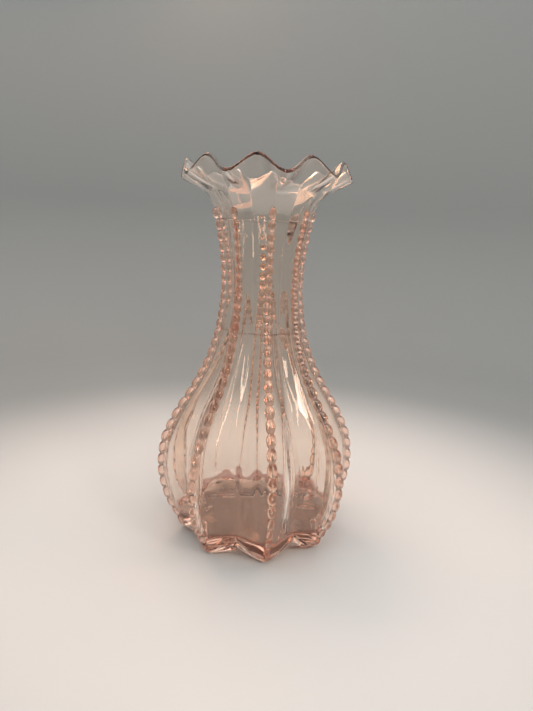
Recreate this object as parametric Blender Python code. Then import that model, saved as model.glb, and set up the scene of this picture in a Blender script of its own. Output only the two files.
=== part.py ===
"""A pressed glass bud vase: ridged bulb on a star foot, slim neck, ruffled lip and beads up each ridge.

Metres, +Z up, origin at the middle of the underside. A ridge points along -Y, towards the front.
The real vase is one moulding. Its natural features are separate solids here, MOULD_GAP apart.
"""

import math
from dataclasses import dataclass

import bmesh
import bpy
from mathutils import Vector

# Overall sizes
HEIGHT = 0.150
BELLY_RADIUS = 0.0398
NECK_RADIUS = 0.0147
LIP_RADIUS = 0.0313

# The pressed star
RIDGES = 8
FOOT_CREASE_RADIUS = 0.0220
BELLY_CREASE_RADIUS = 0.0313
NECK_CREASE_DEPTH = 0.0008
PANEL_BULGE = 0.0007

# The glass itself
WALL = 0.0022
RIDGE_EXTRA = 0.0010
LIP_WALL = 0.0014
FOOT_THICKNESS = 0.0040
FLOOR_HEIGHT = 0.0085
FLOOR_CORNER = 0.0070

# Where one feature ends and the next begins, as shares of the rim's height, so they stay on their curve
SHOULDER = 0.588
COLLAR = 0.879
MOULD_GAP = 0.0003

# The ruffled lip
RUFFLES = 10
RUFFLE_RISE = 0.0027
RUFFLE_REACH = 0.0010
RUFFLE_TURN = math.radians(-14.6)
RUFFLE_START = 0.50
RIM_LIFT = 0.0011
RIM_ROUND_OUT = 0.0005
RIM_ROUND_UP = 0.0003

# The beads on each ridge
BEADS = 31
BEAD_WIDTH = 0.0037
BEAD_PROUD = 0.0015
BEAD_WAIST = 0.45
BEAD_BACK_GAP = 0.0004
FIRST_BEAD_HEIGHT = 0.0020
BEADS_PAST_COLLAR = 0.0045
# How far apart they stand along the ridge: share of the beads below, and pitch, all scaled to fill the ridge
BEAD_PITCH_LINE = (
    (0.00, 0.0044),
    (0.33, 0.0050),
    (0.70, 0.0035),
    (1.00, 0.0043),
)

# Clear glass with a faint colour, deeper where it is thick
GLASS_IOR = 1.52
GLASS_ROUGHNESS = 0.03
WALL_COLOUR = (0.86, 0.80, 0.77, 1.0)
BEAD_COLOUR = (0.84, 0.66, 0.58, 1.0)
THICK_COLOUR = (0.80, 0.62, 0.54, 1.0)

# Heights that follow from those: the rim's is the middle of its ruffles
RIM_HEIGHT = HEIGHT - RUFFLE_RISE - RIM_LIFT
SHOULDER_HEIGHT = SHOULDER * RIM_HEIGHT
COLLAR_HEIGHT = COLLAR * RIM_HEIGHT
LAST_BEAD_HEIGHT = COLLAR_HEIGHT + BEADS_PAST_COLLAR

# How finely the surfaces are divided
STAR_COLUMNS = 6 * RIDGES
LIP_COLUMNS = 8 * RUFFLES
FOOT_ROWS = 4
BULB_ROWS = 16
HOLLOW_ROWS = 12
FLOOR_CORNER_ROWS = 3
NECK_ROWS = 8
LIP_ROWS = 8
BEAD_SIDES = 4
BEAD_RINGS = 3
RIDGE_STEPS = 4000
SLOPE_STEP = 0.0005
MERGE_DISTANCE = 0.00001
SHARP_ANGLE = math.radians(25)

# The ridge line, foot to neck: share of the rim's height, and of the way from neck radius to belly radius
BODY_LINE = (
    (0.000, 0.614),
    (0.043, 0.725),
    (0.108, 0.904),
    (0.195, 1.000),
    (0.258, 0.968),
    (0.346, 0.761),
    (0.432, 0.458),
    (0.518, 0.211),
    (0.604, 0.068),
    (0.697, 0.000),
)
# The ridge line, neck to lip: share of the rim's height, and of the way from neck radius to lip radius
FLARE_LINE = (
    (0.697, 0.000),
    (0.759, 0.024),
    (0.819, 0.090),
    (0.897, 0.240),
    (0.945, 0.470),
    (0.974, 0.700),
    (0.991, 0.873),
    (1.000, 1.000),
)
# The crease between two ridges, foot to belly: share of the rim's height, and of the way to the belly crease
FOOT_CREASE_LINE = (
    (0.000, 0.000),
    (0.021, 0.470),
    (0.054, 0.785),
    (0.116, 0.870),
    (0.177, 0.950),
    (0.221, 1.000),
)
# The crease above the belly: share of the rim's height, and its depth as a share of the depth at the belly
CREASE_FADE = (
    (0.221, 1.000),
    (0.308, 0.880),
    (0.356, 0.690),
    (0.410, 0.494),
    (0.475, 0.430),
    (0.558, 0.290),
    (0.649, 0.100),
    (0.718, 0.000),
)
# Where in the flare the last of the creases smooths away, as shares of the rim's height
CREASE_SMOOTHS_FROM = 0.882
CREASE_SMOOTHS_TO = 0.974


@dataclass
class Row:
    """One ring of the surface: its radius on the ridges, its radius in the creases, and its height."""

    ridge: float
    crease: float
    height: float
    ruffle: float = 0.0
    soft: bool = False


def along(line, share):
    """The value of a line of (share, value) points, on a smooth curve that keeps to their ups and downs."""
    points = list(line)
    share = min(max(share, points[0][0]), points[-1][0])
    slopes = []
    for before, after in zip(points, points[1:]):
        slopes.append((after[1] - before[1]) / (after[0] - before[0]))
    tangents = [slopes[0]]
    for before, after in zip(slopes, slopes[1:]):
        level = before * after <= 0
        tangents.append(0.0 if level else 2 * before * after / (before + after))
    tangents.append(slopes[-1])
    index = max(i for i in range(len(slopes)) if share >= points[i][0])
    (start, low), (end, high) = points[index], points[index + 1]
    step = end - start
    u = (share - start) / step
    return (
        low * (1 + 2 * u) * (1 - u) ** 2
        + high * u * u * (3 - 2 * u)
        + step * tangents[index] * u * (1 - u) ** 2
        - step * tangents[index + 1] * u * u * (1 - u)
    )


def ridge_radius(height):
    """The outer radius on a ridge, without its beads."""
    share = height / RIM_HEIGHT
    if share < BODY_LINE[-1][0]:
        return NECK_RADIUS + (BELLY_RADIUS - NECK_RADIUS) * along(BODY_LINE, share)
    return NECK_RADIUS + (LIP_RADIUS - NECK_RADIUS) * along(FLARE_LINE, share)


def crease_radius(height):
    """The outer radius in the crease midway between two ridges."""
    share = height / RIM_HEIGHT
    if share < FOOT_CREASE_LINE[-1][0]:
        way = along(FOOT_CREASE_LINE, share)
        return FOOT_CREASE_RADIUS + (BELLY_CREASE_RADIUS - FOOT_CREASE_RADIUS) * way
    belly_depth = ridge_radius(FOOT_CREASE_LINE[-1][0] * RIM_HEIGHT) - BELLY_CREASE_RADIUS
    fade = along(CREASE_FADE, share)
    plain = smooth_step((share - CREASE_SMOOTHS_FROM) / (CREASE_SMOOTHS_TO - CREASE_SMOOTHS_FROM))
    return ridge_radius(height) - belly_depth * fade - NECK_CREASE_DEPTH * (1 - fade) * (1 - plain)


def smooth_step(u):
    """0 below 0, 1 above 1, and a smooth rise between."""
    u = min(max(u, 0.0), 1.0)
    return u * u * (3 - 2 * u)


def outer_row(height):
    """The ring of the outer surface at a height."""
    return Row(ridge_radius(height), crease_radius(height), height)


def inner_row(height):
    """The ring of the inner surface at a height, which follows the star more softly."""
    ridge = ridge_radius(height) - WALL - RIDGE_EXTRA
    crease = min(crease_radius(height) - WALL, ridge)
    return Row(ridge, crease, height, soft=True)


def spread(low, high, count):
    """Count heights from low to high, both ends included."""
    return [low + (high - low) * i / (count - 1) for i in range(count)]


def on_star(row, turn):
    """The point of a row at an angle from +X, where one of the ridges is."""
    sector = math.tau / RIDGES
    side = (turn + sector / 2) % sector - sector / 2
    ridge_turn = turn - side
    t = abs(side) / (sector / 2)
    if row.soft:
        radius = row.ridge + (row.crease - row.ridge) * smooth_step(t)
        return Vector((radius * math.cos(turn), radius * math.sin(turn), row.height))
    half = math.copysign(sector / 2, side)
    tip = Vector((row.ridge, 0.0))
    notch = Vector((row.crease * math.cos(half), row.crease * math.sin(half)))
    chord = notch - tip
    outward = Vector((abs(chord.y), abs(chord.x) * math.copysign(1.0, side))).normalized()
    flat = tip + chord * t + outward * PANEL_BULGE * 4 * t * (1 - t)
    c, s = math.cos(ridge_turn), math.sin(ridge_turn)
    return Vector((flat.x * c - flat.y * s, flat.x * s + flat.y * c, row.height))


def on_lip(row, turn):
    """The point of a lip row at an angle, lifted and drawn in on the crest of each ruffle."""
    wave = row.ruffle * math.cos(RUFFLES * (turn + math.pi / 2 - RUFFLE_TURN))
    point = on_star(row, turn)
    reach = (point.xy.length - RUFFLE_REACH * wave) / point.xy.length
    return Vector((point.x * reach, point.y * reach, point.z + RUFFLE_RISE * wave))


def turned(rows, columns, place, closed):
    """Spins an outline once round the axis, then presses each ring of it to its own section."""
    bm = bmesh.new()
    ring = bm.verts.layers.int.new("ring")
    verts = []
    for index, row in enumerate(rows):
        vert = bm.verts.new((row.ridge, 0.0, row.height))
        vert[ring] = index
        verts.append(vert)
    pairs = list(zip(verts, verts[1:]))
    if closed:
        pairs.append((verts[-1], verts[0]))
    edges = [bm.edges.new(pair) for pair in pairs]
    bmesh.ops.spin(
        bm,
        geom=verts + edges,
        cent=(0.0, 0.0, 0.0),
        axis=(0.0, 0.0, 1.0),
        angle=math.tau,
        steps=columns,
        use_merge=True,
    )
    for vert in bm.verts:
        row = rows[vert[ring]]
        if row.ridge > 0:
            vert.co = place(row, math.atan2(vert.co.y, vert.co.x))
    bmesh.ops.remove_doubles(bm, verts=bm.verts, dist=MERGE_DISTANCE)
    bmesh.ops.recalc_face_normals(bm, faces=bm.faces)
    return bm


def pressed_glass(name, colour):
    """A clear glass material with a faint colour of its own."""
    material = bpy.data.materials.new(name)
    material.use_nodes = True
    shader = material.node_tree.nodes["Principled BSDF"]
    shader.inputs["Base Color"].default_value = colour
    shader.inputs["Roughness"].default_value = GLASS_ROUGHNESS
    shader.inputs["Metallic"].default_value = 0.0
    shader.inputs["IOR"].default_value = GLASS_IOR
    shader.inputs["Transmission Weight"].default_value = 1.0
    return material


def add_piece(name, bm, colour, vase):
    """Makes the named object of a mesh, smooth but for its pressed creases, under the vase's empty."""
    mesh = bpy.data.meshes.new(name)
    bm.to_mesh(mesh)
    bm.free()
    mesh.shade_smooth()
    mesh.set_sharp_from_angle(angle=SHARP_ANGLE)
    mesh.materials.append(pressed_glass(name + "_glass", colour))
    piece = bpy.data.objects.new(name, mesh)
    bpy.context.scene.collection.objects.link(piece)
    piece.parent = vase
    return piece


def star_foot():
    """The solid star that the vase stands on, undercut between its points."""
    rows = [Row(0.0, 0.0, 0.0)]
    rows += [outer_row(h) for h in spread(0.0, FOOT_THICKNESS, FOOT_ROWS)]
    rows.append(Row(0.0, 0.0, FOOT_THICKNESS))
    return turned(rows, STAR_COLUMNS, on_star, closed=False)


def bulb():
    """The thick-bottomed bulb, open at its shoulder."""
    bottom = FOOT_THICKNESS + MOULD_GAP
    wide = FLOOR_HEIGHT + FLOOR_CORNER
    rows = [Row(0.0, 0.0, bottom)]
    rows += [outer_row(h) for h in spread(bottom, SHOULDER_HEIGHT, BULB_ROWS)]
    rows += [inner_row(h) for h in reversed(spread(wide, SHOULDER_HEIGHT, HOLLOW_ROWS))]
    side = inner_row(wide)
    for step in range(1, FLOOR_CORNER_ROWS + 1):
        angle = math.pi / 2 * step / FLOOR_CORNER_ROWS
        inset = FLOOR_CORNER * (1 - math.cos(angle))
        drop = FLOOR_CORNER * math.sin(angle)
        rows.append(Row(side.ridge - inset, side.crease - inset, wide - drop, soft=True))
    rows.append(Row(0.0, 0.0, FLOOR_HEIGHT))
    return turned(rows, STAR_COLUMNS, on_star, closed=False)


def neck():
    """The slim neck between the shoulder and the collar."""
    heights = spread(SHOULDER_HEIGHT + MOULD_GAP, COLLAR_HEIGHT, NECK_ROWS)
    rows = [outer_row(h) for h in heights]
    rows += [inner_row(h) for h in reversed(heights)]
    return turned(rows, STAR_COLUMNS, on_star, closed=True)


def ruffled_lip():
    """The flare above the collar, and its ruffled, fire-polished edge."""
    bottom = COLLAR_HEIGHT + MOULD_GAP
    centre = [outer_row(h) for h in spread(bottom, RIM_HEIGHT, LIP_ROWS)]
    outside, inside = [], []
    for index, row in enumerate(centre):
        share = index / (len(centre) - 1)
        row.ruffle = smooth_step((share - RUFFLE_START) / (1 - RUFFLE_START))
        after = centre[min(index + 1, len(centre) - 1)]
        before = centre[max(index - 1, 0)]
        slope = Vector((after.ridge - before.ridge, after.height - before.height)).normalized()
        thickness = WALL + RIDGE_EXTRA + (LIP_WALL - WALL - RIDGE_EXTRA) * share
        inward = Vector((-slope.y, slope.x)) * thickness
        drawn = row.ridge + inward.x if index else row.ridge - thickness
        raised = row.height + inward.y if index else row.height
        outside.append(row)
        inside.append(Row(drawn, row.crease - row.ridge + drawn, raised, row.ruffle, soft=True))
    tip = Row(
        (outside[-1].ridge + inside[-1].ridge) / 2 + RIM_ROUND_OUT,
        (outside[-1].crease + inside[-1].crease) / 2 + RIM_ROUND_OUT,
        (outside[-1].height + inside[-1].height) / 2 + RIM_ROUND_UP,
        1.0,
        soft=True,
    )
    rows = outside + [tip] + list(reversed(inside))
    return turned(rows, LIP_COLUMNS, on_lip, closed=True)


def bead_stations():
    """The heights of the rings of every bead up the ridge: its waist, then its full width."""
    count = BEAD_RINGS * BEADS
    steps = [along(BEAD_PITCH_LINE, i / count) for i in range(count)]
    heights = spread(FIRST_BEAD_HEIGHT, LAST_BEAD_HEIGHT, RIDGE_STEPS + 1)
    lengths = [0.0]
    for low, high in zip(heights, heights[1:]):
        lengths.append(lengths[-1] + math.hypot(high - low, ridge_radius(high) - ridge_radius(low)))
    scale = lengths[-1] / sum(steps)
    stations, reached, index = [], 0.0, 0
    for step in [0.0] + steps:
        reached += step * scale
        while index < len(lengths) - 1 and lengths[index] < reached:
            index += 1
        stations.append(heights[index])
    return stations


def bead_rib(number):
    """One string of touching half-beads up a ridge, flat at its back, a mould gap off the glass."""
    bm = bmesh.new()
    turn = math.tau * number / RIDGES - math.pi / 2
    radial = Vector((math.cos(turn), math.sin(turn), 0.0))
    across = Vector((-math.sin(turn), math.cos(turn), 0.0))
    rings = []
    for index, height in enumerate(bead_stations()):
        growth = ridge_radius(height + SLOPE_STEP) - ridge_radius(height - SLOPE_STEP)
        tangent = (radial * growth + Vector((0.0, 0.0, 2 * SLOPE_STEP))).normalized()
        outward = across.cross(tangent).normalized()
        size = 1.0 if index % BEAD_RINGS else BEAD_WAIST
        centre = radial * ridge_radius(height) + Vector((0.0, 0.0, height))
        centre += outward * BEAD_BACK_GAP
        ring = [
            bm.verts.new(centre - across * BEAD_WIDTH / 2 * size),
            bm.verts.new(centre + across * BEAD_WIDTH / 2 * size),
        ]
        for side in range(1, BEAD_SIDES):
            angle = math.pi * side / BEAD_SIDES
            reach = across * BEAD_WIDTH / 2 * size * math.cos(angle)
            ring.append(bm.verts.new(centre + reach + outward * BEAD_PROUD * size * math.sin(angle)))
        rings.append(ring)
    loops = []
    for ring in rings:
        edges = [bm.edges.new((ring[i], ring[(i + 1) % len(ring)])) for i in range(len(ring))]
        loops.append(edges)
    for lower, upper in zip(loops, loops[1:]):
        bmesh.ops.bridge_loops(bm, edges=lower + upper)
    bmesh.ops.contextual_create(bm, geom=loops[0])
    bmesh.ops.contextual_create(bm, geom=loops[-1])
    bmesh.ops.recalc_face_normals(bm, faces=bm.faces)
    return bm


def main():
    """Clears the scene and builds the vase, foot to lip, then its beads."""
    for old in list(bpy.data.objects):
        bpy.data.objects.remove(old)
    vase = bpy.data.objects.new("vase", None)
    bpy.context.scene.collection.objects.link(vase)
    add_piece("star_foot", star_foot(), THICK_COLOUR, vase)
    add_piece("bulb", bulb(), WALL_COLOUR, vase)
    add_piece("neck", neck(), WALL_COLOUR, vase)
    add_piece("ruffled_lip", ruffled_lip(), WALL_COLOUR, vase)
    for number in range(RIDGES):
        add_piece(f"bead_rib_{number + 1}", bead_rib(number), BEAD_COLOUR, vase)


main()
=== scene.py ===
"""The looks of a pressed glass bud vase: peach-tinted clear glass, star foot, ruffled lip, beaded ridges.

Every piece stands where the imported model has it. Metres, +Z up, the front ridge along -Y.
"""

import logging
import math
from collections.abc import Callable
from dataclasses import dataclass, replace
from enum import Enum

import bmesh
import bpy
from mathutils import Matrix, Vector


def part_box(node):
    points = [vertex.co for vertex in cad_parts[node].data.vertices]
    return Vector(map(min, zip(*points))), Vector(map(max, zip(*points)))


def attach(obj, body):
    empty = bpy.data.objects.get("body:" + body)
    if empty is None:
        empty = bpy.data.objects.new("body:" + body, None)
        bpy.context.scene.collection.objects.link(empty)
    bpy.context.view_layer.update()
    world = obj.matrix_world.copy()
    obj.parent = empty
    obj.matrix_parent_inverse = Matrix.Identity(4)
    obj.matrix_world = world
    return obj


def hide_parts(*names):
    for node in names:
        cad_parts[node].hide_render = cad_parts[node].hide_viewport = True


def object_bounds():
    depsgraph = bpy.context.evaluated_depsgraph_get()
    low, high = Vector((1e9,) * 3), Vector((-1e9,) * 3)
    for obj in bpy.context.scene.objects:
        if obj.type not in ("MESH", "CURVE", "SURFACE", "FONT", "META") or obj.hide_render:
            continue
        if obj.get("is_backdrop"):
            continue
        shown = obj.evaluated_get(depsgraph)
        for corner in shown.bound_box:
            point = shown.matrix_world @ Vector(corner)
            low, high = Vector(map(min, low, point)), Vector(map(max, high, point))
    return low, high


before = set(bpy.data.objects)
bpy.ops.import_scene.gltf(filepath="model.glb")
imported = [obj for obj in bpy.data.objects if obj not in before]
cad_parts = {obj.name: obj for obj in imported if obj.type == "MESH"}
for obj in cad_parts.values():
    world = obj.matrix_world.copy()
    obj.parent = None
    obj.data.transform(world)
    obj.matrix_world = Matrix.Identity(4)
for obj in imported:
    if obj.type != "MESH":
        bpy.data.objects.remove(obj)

LOG = logging.getLogger("bud_vase")
MM = 0.001
WELD = 0.001 * MM
Z_AXIS = Vector((0.0, 0.0, 1.0))
# The faint peach of the glass itself, and how strongly it takes up light for each metre of its depth
GLASS_TINT = "E4A464"
GLASS_DENSITY = 2.0


def smooth_step(u: float) -> float:
    """0 below 0, 1 above 1, and a smooth rise between."""
    u = min(max(u, 0.0), 1.0)
    return u * u * (3 - 2 * u)


def mixed(low: float, high: float, share: float) -> float:
    """The value that far of the way from low to high."""
    return low + (high - low) * share


def spread(low: float, high: float, count: int) -> list[float]:
    """Count values from low to high, both ends included."""
    return [mixed(low, high, i / (count - 1)) for i in range(count)]


def srgb(code: str) -> tuple[float, float, float, float]:
    """Turns an sRGB hex colour into the linear colour that a shader takes.

    Args:
        code: Six hex digits.

    Returns:
        Linear red, green and blue, and an alpha of 1.
    """
    channels = [int(code[i : i + 2], 16) / 255 for i in (0, 2, 4)]
    red, green, blue = [c / 12.92 if c <= 0.04045 else ((c + 0.055) / 1.055) ** 2.4 for c in channels]
    return red, green, blue, 1.0


@dataclass(frozen=True)
class Line:
    """A smooth line through a few (share, value) points that keeps to their ups and downs."""

    points: tuple[tuple[float, float], ...]

    @property
    def end(self) -> float:
        """The last share that the line covers."""
        return self.points[-1][0]

    def at(self, share: float) -> float:
        """The value of the line.

        Args:
            share: Where on the line. Past an end, the end's value is given.

        Returns:
            The value there, on a monotone cubic through the points.
        """
        points = self.points
        share = min(max(share, points[0][0]), points[-1][0])
        slopes = [(b[1] - a[1]) / (b[0] - a[0]) for a, b in zip(points, points[1:])]
        tangents = [slopes[0]]
        for before, after in zip(slopes, slopes[1:]):
            level = before * after <= 0
            tangents.append(0.0 if level else 2 * before * after / (before + after))
        tangents.append(slopes[-1])
        index = max(i for i in range(len(slopes)) if share >= points[i][0])
        (start, low), (end, high) = points[index], points[index + 1]
        step = end - start
        u = (share - start) / step
        return (
            low * (1 + 2 * u) * (1 - u) ** 2
            + high * u * u * (3 - 2 * u)
            + step * tangents[index] * u * (1 - u) ** 2
            - step * tangents[index + 1] * u * u * (1 - u)
        )


class Face(Enum):
    """Which face of the glass a row lies on: the mould's crisp star, or the plunger's softer one."""

    OUTSIDE = "outside"
    INSIDE = "inside"


@dataclass(frozen=True)
class Spot:
    """One place across a ridge's sector: its ridge's turn, the side it is on, and how far to the crease."""

    ridge_turn: float
    side: float
    share: float


@dataclass(frozen=True)
class StarMould:
    """The star-shaped mould that every piece is pressed in, with its sizes in metres."""

    height: float
    belly_radius: float
    neck_radius: float = 0.0147
    lip_radius: float = 0.0313
    ridges: int = 8
    foot_crease_radius: float = 0.0220
    belly_crease_radius: float = 0.0313
    neck_crease_depth: float = 0.0008
    panel_bulge: float = 0.0007
    wall: float = 0.0019
    ridge_extra: float = 0.0002
    ruffle_rise: float = 0.0027
    rim_lift: float = 0.0011
    rim_bead: float = 0.30 * MM
    ridge_rounding: float = 0.35 * MM
    crease_rounding: float = 0.80 * MM
    # The shares of the rim's height between which the crease runs out into the plain flare
    crease_smooths: tuple[float, float] = (0.900, 0.985)
    lean_step: float = 0.2 * MM
    # The ridge line, foot to neck: share of the rim's height, and of the way from neck to belly radius
    body_line: Line = Line(
        (
            (0.000, 0.614),
            (0.043, 0.725),
            (0.108, 0.904),
            (0.195, 1.000),
            (0.258, 0.968),
            (0.346, 0.761),
            (0.432, 0.458),
            (0.518, 0.211),
            (0.604, 0.068),
            (0.697, 0.000),
        )
    )
    # The ridge line, neck to lip: share of the rim's height, and of the way from neck to lip radius
    flare_line: Line = Line(
        (
            (0.697, 0.000),
            (0.759, 0.024),
            (0.819, 0.090),
            (0.897, 0.240),
            (0.945, 0.470),
            (0.974, 0.700),
            (0.991, 0.873),
            (1.000, 1.000),
        )
    )
    # The crease, foot to belly: share of the rim's height, and of the way to the belly crease
    foot_crease_line: Line = Line(
        (
            (0.000, 0.000),
            (0.021, 0.470),
            (0.054, 0.785),
            (0.116, 0.870),
            (0.177, 0.950),
            (0.221, 1.000),
        )
    )
    # The crease above the belly: share of the rim's height, and its depth as a share of the belly's
    crease_fade: Line = Line(
        (
            (0.221, 1.000),
            (0.308, 0.880),
            (0.356, 0.690),
            (0.410, 0.494),
            (0.475, 0.430),
            (0.558, 0.290),
            (0.649, 0.100),
            (0.718, 0.000),
        )
    )

    @property
    def rim_height(self) -> float:
        """The height of the middle of the ruffles."""
        return self.height - self.ruffle_rise - self.rim_lift - self.rim_bead

    @property
    def half_sector(self) -> float:
        """The turn from a ridge to the crease beside it."""
        return math.pi / self.ridges

    def ridge_radius(self, height: float) -> float:
        """The outer radius on a ridge, without its beads."""
        share = height / self.rim_height
        if share < self.body_line.end:
            return mixed(self.neck_radius, self.belly_radius, self.body_line.at(share))
        return mixed(self.neck_radius, self.lip_radius, self.flare_line.at(share))

    def crease_radius(self, height: float) -> float:
        """The outer radius in the crease midway between two ridges."""
        share = height / self.rim_height
        if share < self.foot_crease_line.end:
            way = self.foot_crease_line.at(share)
            return mixed(self.foot_crease_radius, self.belly_crease_radius, way)
        belly_height = self.foot_crease_line.end * self.rim_height
        belly_depth = self.ridge_radius(belly_height) - self.belly_crease_radius
        painted_falloff = self.crease_fade.at(share)
        start, end = self.crease_smooths
        plain = smooth_step((share - start) / (end - start))
        neck_depth = self.neck_crease_depth * (1 - painted_falloff) * (1 - plain)
        return self.ridge_radius(height) - belly_depth * painted_falloff - neck_depth

    def spot(self, turn: float, gather: float) -> Spot:
        """Finds where in its sector a column of the mesh stands.

        Args:
            turn: The column's turn from +X, where one of the ridges is.
            gather: From 0 to 1, how far columns draw together at ridges and creases, where the glass bends.

        Returns:
            The column's place, with its share of the way from ridge to crease after the gathering.
        """
        sector = 2 * self.half_sector
        side = (turn + self.half_sector) % sector - self.half_sector
        share = abs(side) / self.half_sector
        share -= gather * math.sin(math.tau * share) / math.tau
        return Spot(turn - side, math.copysign(1.0, side), share)

    def outer_point(self, spot: Spot, ridge: float, crease: float) -> Vector:
        """A point of the star's outline: flat, slightly bulged panels with rounded ridges and creases.

        Args:
            spot: The place across the sector.
            ridge: The radius on the ridge.
            crease: The radius in the crease.

        Returns:
            The point, level with the axis (its z is 0).
        """
        half = self.half_sector
        tip = Vector((ridge, 0.0))
        notch = Vector((crease * math.cos(half), crease * math.sin(half)))
        chord = notch - tip
        outward = Vector((chord.y, -chord.x)).normalized()
        t = spot.share
        flat = tip + chord * t + outward * self.panel_bulge * 4 * t * (1 - t)
        ridge_slope = -chord.x / chord.y
        across = t * chord.length
        flat.x -= ridge_slope * (math.hypot(across, self.ridge_rounding) - across)
        crease_tangent = Vector((-math.sin(half), math.cos(half)))
        crease_radial = Vector((math.cos(half), math.sin(half)))
        crease_slope = max(-chord.dot(crease_radial) / chord.dot(crease_tangent), 0.0)
        across = (1 - t) * chord.length
        flat += crease_radial * crease_slope * (math.hypot(across, self.crease_rounding) - across)
        y = flat.y * spot.side
        c, s = math.cos(spot.ridge_turn), math.sin(spot.ridge_turn)
        return Vector((flat.x * c - y * s, flat.x * s + y * c, 0.0))

    def inner_point(self, spot: Spot, ridge: float, crease: float) -> Vector:
        """A point of the softer star of the inner face, level with the axis (its z is 0)."""
        radius = mixed(ridge, crease, smooth_step(spot.share))
        turn = spot.ridge_turn + spot.side * spot.share * self.half_sector
        return Vector((radius * math.cos(turn), radius * math.sin(turn), 0.0))

    def lean(self, height: float) -> float:
        """How much the ridge's radius grows for each metre up."""
        step = self.lean_step
        return (self.ridge_radius(height + step) - self.ridge_radius(height - step)) / (2 * step)


@dataclass(frozen=True)
class Row:
    """One ring of a mesh: the face it is on, its radii on ridge and in crease, and its height there.

    A joint row lies on a hidden face, where this piece runs into the next.
    """

    face: Face
    ridge: float
    crease: float
    height: float
    crease_height: float | None = None
    ruffle: float = 0.0
    joint: bool = False


def spun(
    rows: list[Row],
    columns: int,
    place: Callable[[Row, float], Vector],
    ring: bool,
) -> bmesh.types.BMesh:
    """Spins an outline once round the axis and presses each ring of it to its own section.

    Args:
        rows: The outline, from its first ring to its last.
        columns: How many steps the spin takes.
        place: Gives the point of a row at a turn.
        ring: Whether the last row joins the first, as on a pipe, or both end on the axis.

    Returns:
        The closed shell. Its hidden joint faces, whose corners all lie on joint rows, are in slot 1.
    """
    bm = bmesh.new()
    layer = bm.verts.layers.int.new("row")
    verts = []
    for index, row in enumerate(rows):
        vert = bm.verts.new((row.ridge, 0.0, row.height))
        vert[layer] = index
        verts.append(vert)
    pairs = list(zip(verts, verts[1:]))
    if ring:
        pairs.append((verts[-1], verts[0]))
    edges = [bm.edges.new(pair) for pair in pairs]
    bmesh.ops.spin(
        bm,
        geom=verts + edges,
        cent=(0.0, 0.0, 0.0),
        axis=Z_AXIS,
        angle=math.tau,
        steps=columns,
        use_merge=True,
    )
    for vert in bm.verts:
        row = rows[vert[layer]]
        if row.ridge > 0:
            vert.co = place(row, math.atan2(vert.co.y, vert.co.x))
    for face in bm.faces:
        face.material_index = int(all(rows[vert[layer]].joint for vert in face.verts))
    bmesh.ops.remove_doubles(bm, verts=bm.verts, dist=WELD)
    bmesh.ops.recalc_face_normals(bm, faces=bm.faces)
    return bm


def add_piece(
    name: str,
    bm: bmesh.types.BMesh,
    materials: list[bpy.types.Material],
    replaced: str,
    sharp: float = 28.0,
) -> bpy.types.Object:
    """Makes a piece of the vase from a finished mesh.

    Args:
        name: The piece's name.
        bm: Its mesh, which is freed.
        materials: The materials of its slots, in order.
        replaced: The CAD node that it stands for.
        sharp: The angle in degrees above which an edge stays crisp.

    Returns:
        The object, riding on the vase's one body.
    """
    mesh = bpy.data.meshes.new(name)
    bm.to_mesh(mesh)
    bm.free()
    mesh.shade_smooth()
    mesh.set_sharp_from_angle(angle=math.radians(sharp))
    for material in materials:
        mesh.materials.append(material)
    piece = bpy.data.objects.new(name, mesh)
    bpy.context.scene.collection.objects.link(piece)
    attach(piece, "root")
    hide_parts(replaced)
    LOG.info("%s: %d faces, stands for %s", name, len(mesh.polygons), replaced)
    return piece


def add_node(
    tree: bpy.types.NodeTree,
    kind: str,
    settings: dict[str, object] | None = None,
    values: dict[str, object] | None = None,
    links: dict[str, bpy.types.NodeSocket] | None = None,
) -> bpy.types.Node:
    """Adds one node with its settings, socket values and links.

    Args:
        tree: The material's or world's node tree.
        kind: The node's type name, without its ShaderNode prefix.
        settings: Attributes of the node itself.
        values: Values of its input sockets, by name.
        links: Sockets that feed its inputs, by name.

    Returns:
        The node.
    """
    node = tree.nodes.new("ShaderNode" + kind)
    for key, value in (settings or {}).items():
        setattr(node, key, value)
    for key, value in (values or {}).items():
        node.inputs[key].default_value = value
    for key, socket in (links or {}).items():
        tree.links.new(socket, node.inputs[key])
    return node


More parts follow.
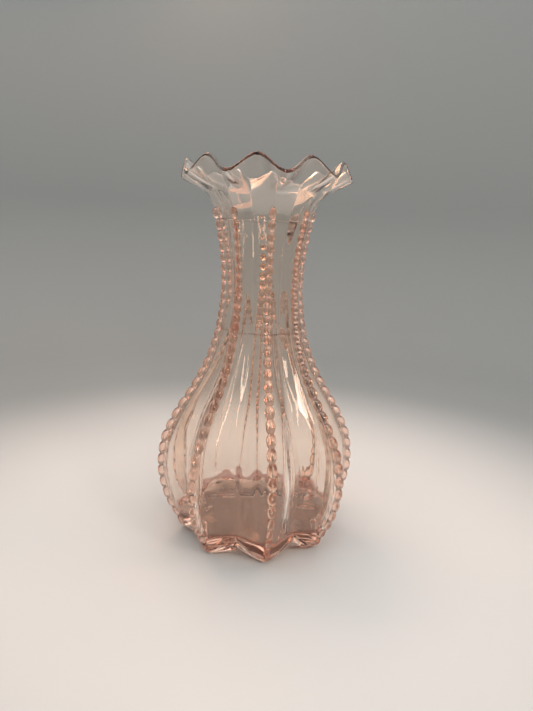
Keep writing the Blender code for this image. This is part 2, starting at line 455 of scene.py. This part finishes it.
@dataclass(frozen=True)
class PressedGlass:
    """Soda-lime glass pressed in an iron mould and fire-polished, with a faint peach tint of its own.

    A little of the tint lies in the depth of the glass, so it deepens where light goes a long way
    through. The rest is a skin colour that tints each passage through a surface, stronger on the thick
    foot, and pinkest on the beads, where it is a painted stand-in for the peach highlights they catch.
    The mould's chill leaves a slow waviness that bends highlights and what is seen through.
    """

    name: str
    ripple_mm: float
    ripple_depth: float
    skin: str
    ripple_strength: float = 0.5
    density: float = GLASS_DENSITY
    tint: str = GLASS_TINT
    ior: float = 1.52
    roughness: float = 0.012

    def build(self) -> bpy.types.Material:
        """Makes the material."""
        material = bpy.data.materials.new(self.name)
        material.use_nodes = True
        tree = material.node_tree
        tree.nodes.clear()
        place = add_node(tree, "TexCoord").outputs["Object"]
        # Chill ripple: soft waves a few millimetres long, drawn out up the wall by the plunger's pull
        drawn = add_node(tree, "Mapping", values={"Scale": (1.0, 1.0, 0.45)}, links={"Vector": place})
        ripple = add_node(
            tree,
            "TexNoise",
            values={"Scale": 1 / (self.ripple_mm * MM), "Detail": 1.5, "Roughness": 0.4},
            links={"Vector": drawn.outputs["Vector"]},
        )
        bump = add_node(
            tree,
            "Bump",
            values={"Strength": self.ripple_strength, "Distance": self.ripple_depth * MM},
            links={"Height": ripple.outputs["Fac"]},
        )
        shader = add_node(
            tree,
            "BsdfPrincipled",
            values={
                "Base Color": srgb(self.skin),
                "Roughness": self.roughness,
                "IOR": self.ior,
                "Transmission Weight": 1.0,
            },
            links={"Normal": bump.outputs["Normal"]},
        )
        depth = add_node(
            tree,
            "VolumeAbsorption",
            values={"Color": srgb(self.tint), "Density": self.density},
        )
        add_node(
            tree,
            "OutputMaterial",
            links={"Surface": shader.outputs["BSDF"], "Volume": depth.outputs["Volume"]},
        )
        return material


@dataclass(frozen=True)
class FusedJoint:
    """Where one feature of the moulding runs into the next. No surface is there, so light goes straight on.

    The IOR is a hair over 1, because at 1 and very near it the shader lets nothing through.
    """

    name: str
    density: float = GLASS_DENSITY
    ior: float = 1.01
    tint: str = GLASS_TINT

    def build(self) -> bpy.types.Material:
        """Makes the material: glass on both sides, so no bending of light and no shine."""
        material = bpy.data.materials.new(self.name)
        material.use_nodes = True
        tree = material.node_tree
        tree.nodes.clear()
        shader = add_node(
            tree,
            "BsdfPrincipled",
            values={
                "Base Color": srgb("FFFFFF"),
                "Roughness": 0.0,
                "IOR": self.ior,
                "Transmission Weight": 1.0,
            },
        )
        depth = add_node(
            tree,
            "VolumeAbsorption",
            values={"Color": srgb(self.tint), "Density": self.density},
        )
        add_node(
            tree,
            "OutputMaterial",
            links={"Surface": shader.outputs["BSDF"], "Volume": depth.outputs["Volume"]},
        )
        return material


@dataclass
class VaseGlass:
    """The moulding's foot, bulb, neck and lip, which run into each other at hidden joints."""

    mould: StarMould
    shoulder_height: float
    collar_height: float
    wall_glass: bpy.types.Material
    foot_glass: bpy.types.Material
    joint: bpy.types.Material
    columns: int = 192
    lip_columns: int = 240
    gather: float = 0.55
    joint_gap: float = 0.01 * MM
    floor_height: float = 0.0085
    floor_corner: float = 0.0022
    # The foot's upper edge climbs from the points to the notches between them, and stands a little proud
    edge_at_ridge: float = 0.0016
    edge_at_crease: float = 0.0085
    edge_proud: float = 0.30 * MM
    edge_round: float = 0.25 * MM
    under_round: float = 0.45 * MM
    recess: float = 0.60 * MM
    floor_dome: float = 0.40 * MM
    # How far above the notches of the foot's edge the wall's rows come level again
    levelling: float = 6.0 * MM
    levelling_rows: int = 14
    belly_rows: int = 90
    hollow_rows: int = 80
    neck_rows: int = 64
    lip_rows: int = 40
    rim_rows: int = 8
    # The part of the foot's band between its rounded edges, and the rim's arc in degrees
    band_span: tuple[float, float] = (0.12, 0.90)
    band_rows: int = 9
    rim_span: tuple[float, float] = (20.0, 160.0)
    # The share of the flare by which its inner face lies square to the wall
    square_by: float = 0.2
    corner_rows: int = 14
    floor_shares: tuple[float, ...] = (0.75, 0.5, 0.25, 0.0)
    # The underside from its middle outwards: share of the radius, and of the recess's depth
    underside: tuple[tuple[float, float], ...] = (
        (0.30, 1.0),
        (0.62, 1.0),
        (0.70, 0.92),
        (0.78, 0.35),
        (0.84, 0.0),
        (0.93, 0.0),
    )
    quarter_turn: tuple[float, ...] = (0.0, 30.0, 60.0, 90.0)
    lip_wall: float = 0.0014
    rim_radius: float = 0.80 * MM
    ruffles: int = 10
    ruffle_turn: float = math.radians(-14.6)
    ruffle_reach: float = 0.0010
    ruffle_start: float = 0.50

    def on_star(self, row: Row, turn: float) -> Vector:
        """The point of a row at a turn, for rows whose height may differ from ridge to crease."""
        spot = self.mould.spot(turn, self.gather)
        press = self.mould.inner_point if row.face is Face.INSIDE else self.mould.outer_point
        point = press(spot, row.ridge, row.crease)
        crease_height = row.height if row.crease_height is None else row.crease_height
        point.z = mixed(row.height, crease_height, smooth_step(spot.share))
        return point

    def on_lip(self, row: Row, turn: float) -> Vector:
        """The point of a lip row, lifted and drawn in on each ruffle's crest and let out in its valley."""
        spot = self.mould.spot(turn, 0.0)
        press = self.mould.inner_point if row.face is Face.INSIDE else self.mould.outer_point
        point = press(spot, row.ridge, row.crease)
        wave = row.ruffle * math.cos(self.ruffles * (turn + math.pi / 2 - self.ruffle_turn))
        reach = (point.length - self.ruffle_reach * wave) / point.length
        return Vector((point.x * reach, point.y * reach, row.height + self.mould.ruffle_rise * wave))

    def outer_row(self, height: float) -> Row:
        """The ring of the outer face at a height."""
        return Row(Face.OUTSIDE, self.mould.ridge_radius(height), self.mould.crease_radius(height), height)

    def inner_row(self, height: float) -> Row:
        """The ring of the inner face at a height."""
        ridge = self.mould.ridge_radius(height) - self.mould.wall - self.mould.ridge_extra
        crease = min(self.mould.crease_radius(height) - self.mould.wall, ridge)
        return Row(Face.INSIDE, ridge, crease, height)

    def between(self, share: float, top: float) -> Row:
        """The ring of the outer face that far of the way from the foot's edge to a level height."""
        ridge_height = mixed(self.edge_at_ridge, top, share)
        crease_height = mixed(self.edge_at_crease, top, share)
        return Row(
            Face.OUTSIDE,
            self.mould.ridge_radius(ridge_height),
            self.mould.crease_radius(crease_height),
            ridge_height,
            crease_height,
        )

    def edge_row(self) -> Row:
        """The ring of the outer face along the foot's upper edge, where its polished band ends."""
        return self.between(0.0, self.edge_at_crease)

    def cavity_rows(self) -> list[Row]:
        """The inner face's rounded corner and slightly domed floor, from the side wall to the axis."""
        side = self.inner_row(self.floor_height + self.floor_corner)
        rows = []
        for angle in spread(0.0, 90.0, self.corner_rows):
            inset = self.floor_corner * (1 - math.cos(math.radians(angle)))
            drop = self.floor_corner * math.sin(math.radians(angle))
            rows.append(Row(Face.INSIDE, side.ridge - inset, side.crease - inset, side.height - drop))
        floor = rows[-1]
        for share in self.floor_shares:
            height = floor.height + self.floor_dome * (1 - share * share)
            rows.append(Row(Face.INSIDE, floor.ridge * share, floor.crease * share, height))
        return rows

    def star_foot(self) -> bpy.types.Object:
        """Builds the thick star that the vase stands on, from its underside to the hollow's floor."""
        base_ridge, base_crease = self.mould.ridge_radius(0.0), self.mould.crease_radius(0.0)
        rows = [Row(Face.OUTSIDE, 0.0, 0.0, self.recess)]
        for share, rise in self.underside:
            rows.append(Row(Face.OUTSIDE, base_ridge * share, base_crease * share, self.recess * rise))
        # The ground edge of the underside, rounded over by its polish
        for angle in self.quarter_turn:
            inset = self.under_round * (1 - math.sin(math.radians(angle)))
            rise = self.under_round * (1 - math.cos(math.radians(angle)))
            rows.append(Row(Face.OUTSIDE, base_ridge - inset, base_crease - inset, rise))
        for share in spread(*self.band_span, self.band_rows):
            ridge_height = self.edge_at_ridge * share
            crease_height = self.edge_at_crease * share
            swell = self.edge_proud * smooth_step(share)
            rows.append(
                Row(
                    Face.OUTSIDE,
                    self.mould.ridge_radius(ridge_height) + swell,
                    self.mould.crease_radius(crease_height) + swell,
                    ridge_height,
                    crease_height,
                )
            )
        edge = self.edge_row()
        for angle in self.quarter_turn:
            inset = self.edge_round * (1 - math.cos(math.radians(angle)))
            drop = self.edge_round * (1 - math.sin(math.radians(angle)))
            rows.append(
                Row(
                    Face.OUTSIDE,
                    edge.ridge + self.edge_proud - inset,
                    edge.crease + self.edge_proud - inset,
                    edge.height - drop,
                    edge.crease_height - drop,
                )
            )
        cavity = self.cavity_rows()
        rows += self.joint_rows(edge, cavity[0], -self.joint_gap)
        rows += cavity
        bm = spun(rows, self.columns, self.on_star, ring=False)
        return add_piece(
            "star_foot_glass",
            bm,
            [self.foot_glass, self.joint],
            "star_foot",
        )

    def joint_rows(self, outer: Row, inner: Row, lift: float) -> list[Row]:
        """The hidden face across the wall between the foot's edge and the hollow, outside first."""
        rim = replace(outer, height=outer.height + lift, crease_height=outer.crease_height + lift)
        return self.end_rows(rim, replace(inner, height=inner.height + lift))

    def bulb(self) -> bpy.types.Object:
        """Builds the ridged wall of the bulb, from the foot's edge to the shoulder."""
        level = self.edge_at_crease + self.levelling
        low, high = self.floor_height + self.floor_corner, self.shoulder_height - self.joint_gap
        rows = [self.between(share, level) for share in spread(0.0, 1.0, self.levelling_rows)]
        rows += [self.outer_row(h) for h in spread(level, high, self.belly_rows)[1:]]
        rows += self.end_rows(rows[-1], self.inner_row(high))
        rows += [self.inner_row(h) for h in reversed(spread(low, high, self.hollow_rows))]
        rows += reversed(self.joint_rows(self.edge_row(), self.inner_row(low), 0.0))
        bm = spun(rows, self.columns, self.on_star, ring=True)
        return add_piece("bulb_glass", bm, [self.wall_glass, self.joint], "bulb")

    def end_rows(self, outer: Row, inner: Row) -> list[Row]:
        """Two rows of joint face across the wall, between an outer row and the inner row level with it."""
        return [replace(outer, joint=True), replace(inner, joint=True)]

    def neck(self) -> bpy.types.Object:
        """Builds the slim neck, an open pipe with the last of the star in it."""
        bottom, top = self.shoulder_height, self.collar_height - self.joint_gap
        heights = spread(bottom, top, self.neck_rows)
        rows = [self.outer_row(h) for h in heights]
        rows += self.end_rows(rows[-1], self.inner_row(top))
        inner = [self.inner_row(h) for h in reversed(heights)]
        rows += inner
        rows += self.end_rows(inner[-1], self.outer_row(bottom))
        bm = spun(rows, self.columns, self.on_star, ring=True)
        return add_piece("neck_glass", bm, [self.wall_glass, self.joint], "neck")

    def ruffled_lip(self) -> bpy.types.Object:
        """Builds the flare and its ruffled edge, whose rim the polishing flame has drawn into a bead."""
        bottom = self.collar_height
        centre = [self.outer_row(h) for h in spread(bottom, self.mould.rim_height, self.lip_rows)]
        outside: list[Row] = []
        inside: list[Row] = []
        for index, row in enumerate(centre):
            share = index / (len(centre) - 1)
            ruffle = smooth_step((share - self.ruffle_start) / (1 - self.ruffle_start))
            after = centre[min(index + 1, len(centre) - 1)]
            before = centre[max(index - 1, 0)]
            slope = Vector((after.ridge - before.ridge, after.height - before.height)).normalized()
            # The inner face starts level with the neck's, and further up lies square to the leaning wall
            leaning = smooth_step(share / self.square_by)
            inward = Vector((mixed(-1.0, -slope.y, leaning), mixed(0.0, slope.x, leaning)))
            at_ridge = mixed(self.mould.wall + self.mould.ridge_extra, self.lip_wall, smooth_step(share))
            at_crease = mixed(self.mould.wall, self.lip_wall, smooth_step(share))
            drawn = row.ridge + inward.x * at_ridge
            crease = min(row.crease + inward.x * at_crease, drawn)
            raised = row.height + inward.y * at_ridge
            outside.append(Row(Face.OUTSIDE, row.ridge, row.crease, row.height, ruffle=ruffle))
            inside.append(Row(Face.INSIDE, drawn, crease, raised, ruffle=ruffle))
        last_out, last_in = outside[-1], inside[-1]
        middle = Vector((last_out.ridge + last_in.ridge, last_out.height + last_in.height)) / 2
        across = (Vector((last_out.ridge, last_out.height)) - middle).normalized()
        onward = Vector((-across.y, across.x))
        rim = []
        for angle in spread(*self.rim_span, self.rim_rows):
            turn = math.radians(angle)
            edge = middle + (across * math.cos(turn) + onward * math.sin(turn)) * self.rim_radius
            rim.append(Row(Face.OUTSIDE, edge.x, edge.x, edge.y, ruffle=1.0))
        rows = outside + rim + list(reversed(inside)) + self.end_rows(inside[0], outside[0])
        bm = spun(rows, self.lip_columns, self.on_lip, ring=True)
        return add_piece(
            "ruffled_lip_glass",
            bm,
            [self.wall_glass, self.joint],
            "ruffled_lip",
            sharp=40.0,
        )


@dataclass
class BeadStrings:
    """The strings of round beads up the mould's ridges, each bead cut with a ball cutter of its size."""

    mould: StarMould
    glass: bpy.types.Material
    first_height: float
    last_height: float
    beads: int = 31
    sides: int = 8
    rings: int = 7
    embedded: float = 0.12 * MM
    # How near to the notch the last ring of a bead comes, as a share of half the pitch
    reach: float = 0.97
    # How far into the glass a notch may go, as a share of the embedding, and the V, as a share of the radius
    notch_depth: float = 0.4
    deepest: float = 0.9
    arc_limits: tuple[float, float] = (-0.9, 0.95)
    arc_tries: int = 12
    steps: int = 4000
    # How far apart the beads stand: share of the beads below, and pitch, all scaled to fill the ridge
    pitch_line: Line = Line(
        (
            (0.00, 0.0044),
            (0.33, 0.0050),
            (0.70, 0.0035),
            (1.00, 0.0043),
        )
    )
    # A bead's radius and how proud of the ridge it stands, by the share of the beads below it
    radius_line: Line = Line(
        (
            (0.00, 1.20 * MM),
            (0.12, 1.45 * MM),
            (0.30, 1.92 * MM),
            (0.45, 1.88 * MM),
            (0.62, 1.60 * MM),
            (1.00, 1.50 * MM),
        )
    )
    # How deep the notch between two beads is, as a share of their radius
    notch_line: Line = Line(
        (
            (0.00, 0.55),
            (0.30, 0.45),
            (0.75, 0.45),
            (1.00, 0.80),
        )
    )
    proud_line: Line = Line(
        (
            (0.00, 1.20 * MM),
            (0.12, 1.70 * MM),
            (0.30, 1.90 * MM),
            (0.70, 1.75 * MM),
            (1.00, 1.60 * MM),
        )
    )

    def stations(self) -> list[tuple[float, float]]:
        """Where the rings of the string lie.

        Returns:
            For each ring, its height on the ridge and its radius, bead after bead.
        """
        heights = spread(self.first_height, self.last_height, self.steps + 1)
        lengths = [0.0]
        for low, high in zip(heights, heights[1:]):
            rise = self.mould.ridge_radius(high) - self.mould.ridge_radius(low)
            lengths.append(lengths[-1] + math.hypot(high - low, rise))
        pitches = [self.pitch_line.at((i + 0.5) / self.beads) for i in range(self.beads)]
        scale = lengths[-1] / sum(pitches)
        found: list[tuple[float, float]] = []
        start, index = 0.0, 0
        for bead, pitch in enumerate(pitches):
            share = bead / (self.beads - 1)
            radius = self.radius_line.at(share)
            half = pitch * scale / 2
            notch = self.notch_line.at(share)
            for ring in range(self.rings):
                # The rings stand closer towards the notch, where the ball's flank is steepest
                lie = math.sin(math.pi / 2 * (2 * ring / (self.rings - 1) - 1))
                while index < self.steps and lengths[index] < start + half * (1 + self.reach * lie):
                    index += 1
                found.append((heights[index], radius * math.sqrt(1 - (1 - (1 - notch) ** 2) * lie * lie)))
            start += 2 * half
        return found

    def ring(
        self,
        bm: bmesh.types.BMesh,
        height: float,
        radius: float,
        share: float,
    ) -> list[bmesh.types.BMEdge]:
        """Adds one ring across the string: an arc over the ridge, closed by a V just inside the glass.

        Args:
            bm: The mesh to add to.
            height: The ring's height on the ridge.
            radius: The arc's radius.
            share: The share of the string below it.

        Returns:
            The ring's edges.
        """
        ridge = self.mould.ridge_radius(height)
        crease = self.mould.crease_radius(height)
        half = self.mould.half_sector
        fall = max((ridge - crease * math.cos(half)) / (crease * math.sin(half)), 0.0)
        sunk = self.radius_line.at(share) - self.proud_line.at(share)
        radius = max(radius, sunk - self.embedded * self.notch_depth)
        # The turn at which the arc runs into the glass, each try averaged with the last
        least, most = self.arc_limits
        widest = math.pi / 2
        for _ in range(self.arc_tries):
            wanted = (sunk - self.embedded - fall * radius * math.sin(widest)) / radius
            widest = (widest + math.acos(min(max(wanted, least), most))) / 2
        radial = Vector((0.0, -1.0, 0.0))
        across = Vector((1.0, 0.0, 0.0))
        tangent = (radial * self.mould.lean(height) + Z_AXIS).normalized()
        outward = across.cross(tangent).normalized()
        middle = radial * ridge + Z_AXIS * height
        verts = []
        for angle in spread(-widest, widest, self.sides + 1):
            lift = radius * math.cos(angle) - sunk
            verts.append(bm.verts.new(middle + across * radius * math.sin(angle) + outward * lift))
        deep = self.embedded + fall * self.mould.ridge_rounding
        verts.append(bm.verts.new(middle - outward * min(deep, sunk + radius * self.deepest)))
        return [bm.edges.new((verts[i], verts[(i + 1) % len(verts)])) for i in range(len(verts))]

    def string(self) -> bmesh.types.BMesh:
        """Bridges the rings of one string up the front ridge and closes its two ends."""
        bm = bmesh.new()
        places = self.stations()
        loops = [
            self.ring(bm, height, radius, (index // self.rings) / (self.beads - 1))
            for index, (height, radius) in enumerate(places)
        ]
        for lower, upper in zip(loops, loops[1:]):
            bmesh.ops.bridge_loops(bm, edges=lower + upper)
        bmesh.ops.contextual_create(bm, geom=loops[0])
        bmesh.ops.contextual_create(bm, geom=loops[-1])
        bmesh.ops.recalc_face_normals(bm, faces=bm.faces)
        return bm

    def build(self) -> None:
        """Makes one string and turns a copy of it to each ridge, the front one first."""
        pattern = self.string()
        for number in range(self.mould.ridges):
            copy = pattern.copy()
            turn = Matrix.Rotation(math.tau * number / self.mould.ridges, 3, "Z")
            bmesh.ops.rotate(copy, cent=(0.0, 0.0, 0.0), matrix=turn, verts=copy.verts)
            add_piece(
                f"bead_string_{number + 1}",
                copy,
                [self.glass],
                f"bead_rib_{number + 1}",
                sharp=60.0,
            )
        pattern.free()


@dataclass(frozen=True)
class SoftBox:
    """One soft area light, aimed at a point of the vase."""

    name: str
    place: tuple[float, float, float]
    target: tuple[float, float, float]
    width: float
    height: float
    watts: float
    colour: str
    shape: str = "RECTANGLE"

    def build(self) -> bpy.types.Object:
        """Makes the light."""
        data = bpy.data.lights.new(self.name, "AREA")
        data.shape = self.shape
        data.size = self.width
        data.size_y = self.height
        data.energy = self.watts
        data.color = srgb(self.colour)[:3]
        lamp = bpy.data.objects.new(self.name, data)
        lamp.location = self.place
        aim = Vector(self.target) - Vector(self.place)
        lamp.rotation_euler = aim.to_track_quat("-Z", "Y").to_euler()
        bpy.context.scene.collection.objects.link(lamp)
        return lamp


@dataclass
class Studio:
    """A floor sweeping up into a round cove, with a painted pool of light round the vase that fades to a
    darker, cooler grey; soft lights; and the camera.
    """

    # Painted pool of light: the floor is pale out to the first radius and fades to the darker, cooler cove
    # grey by the second
    painted_pool_colour: str = "E4EBEE"
    cove_colour: str = "99A4A8"
    pool_of_light_radius: float = 0.09
    pool_falloff_radius: float = 0.26
    floor_radius: float = 0.34
    cove_radius: float = 0.16
    cove_height: float = 0.62
    floor_gap: float = 0.05 * MM
    weld: float = 0.01 * MM
    cove_steps: int = 96
    cove_rows: int = 12
    cove_span: tuple[float, float] = (7.5, 90.0)
    lights: tuple[SoftBox, ...] = (
        SoftBox(
            "key_softbox",
            place=(0.245, -0.048, 0.56),
            target=(0.0, 0.0, 0.10),
            width=0.065,
            height=0.16,
            watts=0.20,
            colour="FFA878",
        ),
        SoftBox(
            "rear_softbox",
            place=(-0.18, 0.33, 0.50),
            target=(0.0, 0.0, 0.12),
            width=0.46,
            height=0.14,
            watts=1.10,
            colour="FFC49C",
        ),
        SoftBox(
            "front_softbox",
            place=(0.193, -0.309, 0.290),
            target=(0.0, 0.0, 0.06),
            width=0.09,
            height=0.10,
            watts=0.32,
            colour="FFE6D2",
            shape="ELLIPSE",
        ),
        SoftBox(
            "front_strip",
            place=(0.05, -0.44, 0.30),
            target=(0.0, 0.0, 0.06),
            width=0.03,
            height=0.28,
            watts=0.34,
            colour="FFE0CA",
        ),
    )
    world_colour: str = "EFECEA"
    world_strength: float = 1.50
    camera_distance: float = 0.22206
    camera_right: float = 0.0026
    camera_height: float = 0.12332
    camera_pitch: float = math.radians(12.23)
    camera_roll: float = math.radians(2.10)
    camera_turn: float = math.radians(9.307)
    lens: float = 28.17
    glass_bounces: int = 28
    glossy_bounces: int = 16

    def floor_material_with_painted_pool(self) -> bpy.types.Material:
        """Matt board with a painted pool of light: pale under the vase, fading with distance from it to a
        darker, cooler grey that the cove keeps.
        """
        material = bpy.data.materials.new("matt_board_painted_light_pool")
        material.use_nodes = True
        tree = material.node_tree
        shader = tree.nodes["Principled BSDF"]
        place = add_node(tree, "TexCoord").outputs["Object"]
        # Painted light falloff: the colour darkens with distance from the vase, as a pool of light would
        far = add_node(tree, "VectorMath", {"operation": "LENGTH"}, links={"Vector": place})
        painted_falloff = add_node(
            tree,
            "MapRange",
            {"interpolation_type": "SMOOTHSTEP"},
            {"From Min": self.pool_of_light_radius, "From Max": self.pool_falloff_radius},
            {"Value": far.outputs["Value"]},
        )
        paint = add_node(tree, "ValToRGB", links={"Fac": painted_falloff.outputs["Result"]})
        paint.color_ramp.elements[0].color = srgb(self.painted_pool_colour)
        paint.color_ramp.elements[1].color = srgb(self.cove_colour)
        tooth = add_node(tree, "TexNoise", values={"Scale": 900.0, "Detail": 2.0}, links={"Vector": place})
        bump = add_node(
            tree,
            "Bump",
            values={"Strength": 0.15, "Distance": 0.05 * MM},
            links={"Height": tooth.outputs["Fac"]},
        )
        shader.inputs["Roughness"].default_value = 0.85
        tree.links.new(paint.outputs["Color"], shader.inputs["Base Color"])
        tree.links.new(bump.outputs["Normal"], shader.inputs["Normal"])
        return material

    def cove(self) -> bpy.types.Object:
        """Builds the floor and the round wall it sweeps into, as one spun sheet."""
        bm = bmesh.new()
        outline = [(0.0, -self.floor_gap), (self.floor_radius, -self.floor_gap)]
        for angle in spread(*self.cove_span, self.cove_rows):
            turn = math.radians(angle)
            outline.append(
                (
                    self.floor_radius + self.cove_radius * math.sin(turn),
                    self.cove_radius * (1 - math.cos(turn)) - self.floor_gap,
                )
            )
        outline.append((outline[-1][0], self.cove_height))
        verts = [bm.verts.new((x, 0.0, z)) for x, z in outline]
        edges = [bm.edges.new(pair) for pair in zip(verts, verts[1:])]
        bmesh.ops.spin(
            bm,
            geom=verts + edges,
            cent=(0.0, 0.0, 0.0),
            axis=Z_AXIS,
            angle=math.tau,
            steps=self.cove_steps,
            use_merge=True,
        )
        bmesh.ops.remove_doubles(bm, verts=bm.verts, dist=self.weld)
        mesh = bpy.data.meshes.new("studio_floor")
        bm.to_mesh(mesh)
        bm.free()
        mesh.shade_smooth()
        mesh.materials.append(self.floor_material_with_painted_pool())
        floor = bpy.data.objects.new("studio_floor", mesh)
        bpy.context.scene.collection.objects.link(floor)
        floor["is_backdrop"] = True
        return floor

    def world(self) -> None:
        """Gives the open top of the cove a soft, even light."""
        world = bpy.data.worlds.new("studio_air")
        world.use_nodes = True
        background = world.node_tree.nodes["Background"]
        background.inputs["Color"].default_value = srgb(self.world_colour)
        background.inputs["Strength"].default_value = self.world_strength
        bpy.context.scene.world = world

    def camera(self) -> bpy.types.Object:
        """Stands the camera a little above the neck, close in front and slightly turned."""
        data = bpy.data.cameras.new("camera")
        data.sensor_width = 36.0
        data.lens = self.lens
        data.clip_start = 0.005
        camera = bpy.data.objects.new("camera", data)
        turned = Matrix.Rotation(-self.camera_turn, 4, "Z")
        placed = Matrix.Translation((self.camera_right, -self.camera_distance, self.camera_height))
        pitched = Matrix.Rotation(math.pi / 2 - self.camera_pitch, 4, "X")
        rolled = Matrix.Rotation(self.camera_roll, 4, "Z")
        camera.matrix_world = turned @ placed @ pitched @ rolled
        bpy.context.scene.collection.objects.link(camera)
        bpy.context.scene.camera = camera
        bpy.context.scene.view_settings.view_transform = "Standard"
        # Light crosses many surfaces in the foot and in the beads
        cycles = bpy.context.scene.cycles
        cycles.max_bounces = cycles.transmission_bounces = self.glass_bounces
        cycles.glossy_bounces = self.glossy_bounces
        return camera

    def build(self) -> None:
        """Sets up the whole studio."""
        self.camera()
        self.cove()
        self.world()
        for light in self.lights:
            light.build()


def main() -> None:
    """Builds the vase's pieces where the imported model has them, then the studio round them."""
    logging.basicConfig(level=logging.INFO, format="%(name)s: %(message)s")
    cad_low, cad_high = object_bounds()
    bulb_low, bulb_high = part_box("bulb")
    neck_low, neck_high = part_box("neck")
    mould = StarMould(height=cad_high.z, belly_radius=bulb_high.x)
    wall_glass = PressedGlass("pressed_soda_lime_wall", 6.0, 0.05, "FFF7F0").build()
    foot_glass = PressedGlass("pressed_soda_lime_foot", 5.0, 0.05, "FFE7DA").build()
    # The beads' pinker skin is a painted stand-in for the peach highlights they catch
    bead_glass_painted_highlight = PressedGlass("pressed_soda_lime_beads_painted_peach_highlight", 2.0, 0.01, "FFE2D4").build()
    joint = FusedJoint("fused_glass_joint").build()
    glass = VaseGlass(mould, neck_low.z, neck_high.z, wall_glass, foot_glass, joint)
    for build in (glass.star_foot, glass.bulb, glass.neck, glass.ruffled_lip):
        build()
    string_low, string_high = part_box("bead_rib_1")
    BeadStrings(mould, bead_glass_painted_highlight, string_low.z, string_high.z).build()
    Studio().build()


if __name__ == "__main__":
    main()
